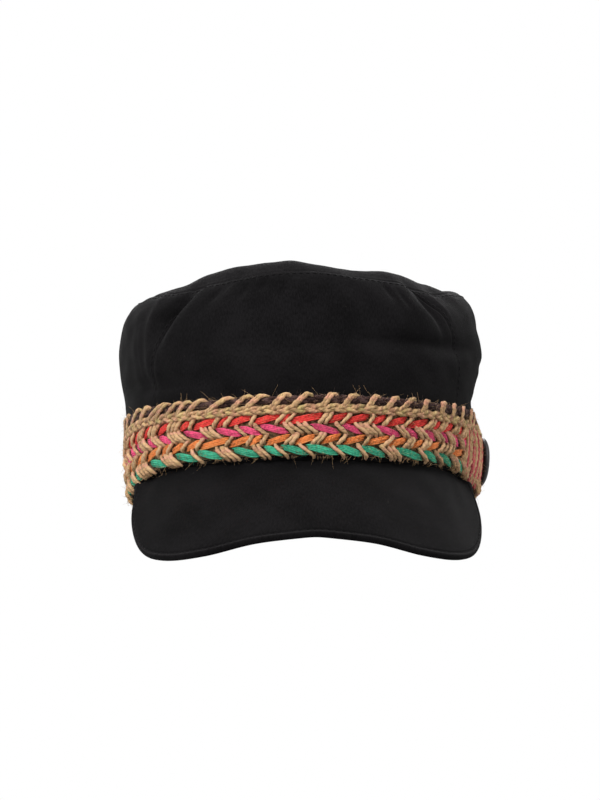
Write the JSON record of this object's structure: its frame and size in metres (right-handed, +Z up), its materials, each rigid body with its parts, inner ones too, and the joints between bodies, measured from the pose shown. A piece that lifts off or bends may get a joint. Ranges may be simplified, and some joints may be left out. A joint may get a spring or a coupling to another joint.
{
  "type": "cadet cap",
  "caption": "Soft cadet cap with a flat panelled crown, a curved peak, a woven jute band in several colours and a round button at its side.",
  "frame": {"origin": "on the surface that the cap stands on, under the middle of the whole cap's box", "axes": "+Z up, the peak points along -Y, +X is on the right of someone who looks at the front, which is the wearer's left"},
  "size_m": [0.1864, 0.2432, 0.1363],
  "materials": {
    "crown_twill": "washed black cotton twill, matt with a faint bloom along folds and seams",
    "peak_twill": "black cotton twill over a stiff peak, matt, edge topstitched",
    "woven_jute": "fuzzy natural jute strands worked over brown, red, pink, orange and green cords",
    "button": "dark brown-black, satin"
  },
  "bodies": {
    "root": {"crown_front_panel": "crown_twill", "crown_right_panel": "crown_twill", "crown_left_panel": "crown_twill", "crown_top_panel": "crown_twill", "peak": "peak_twill", "woven_band": "woven_jute", "band_button": "button"}
  },
  "joints": []
}
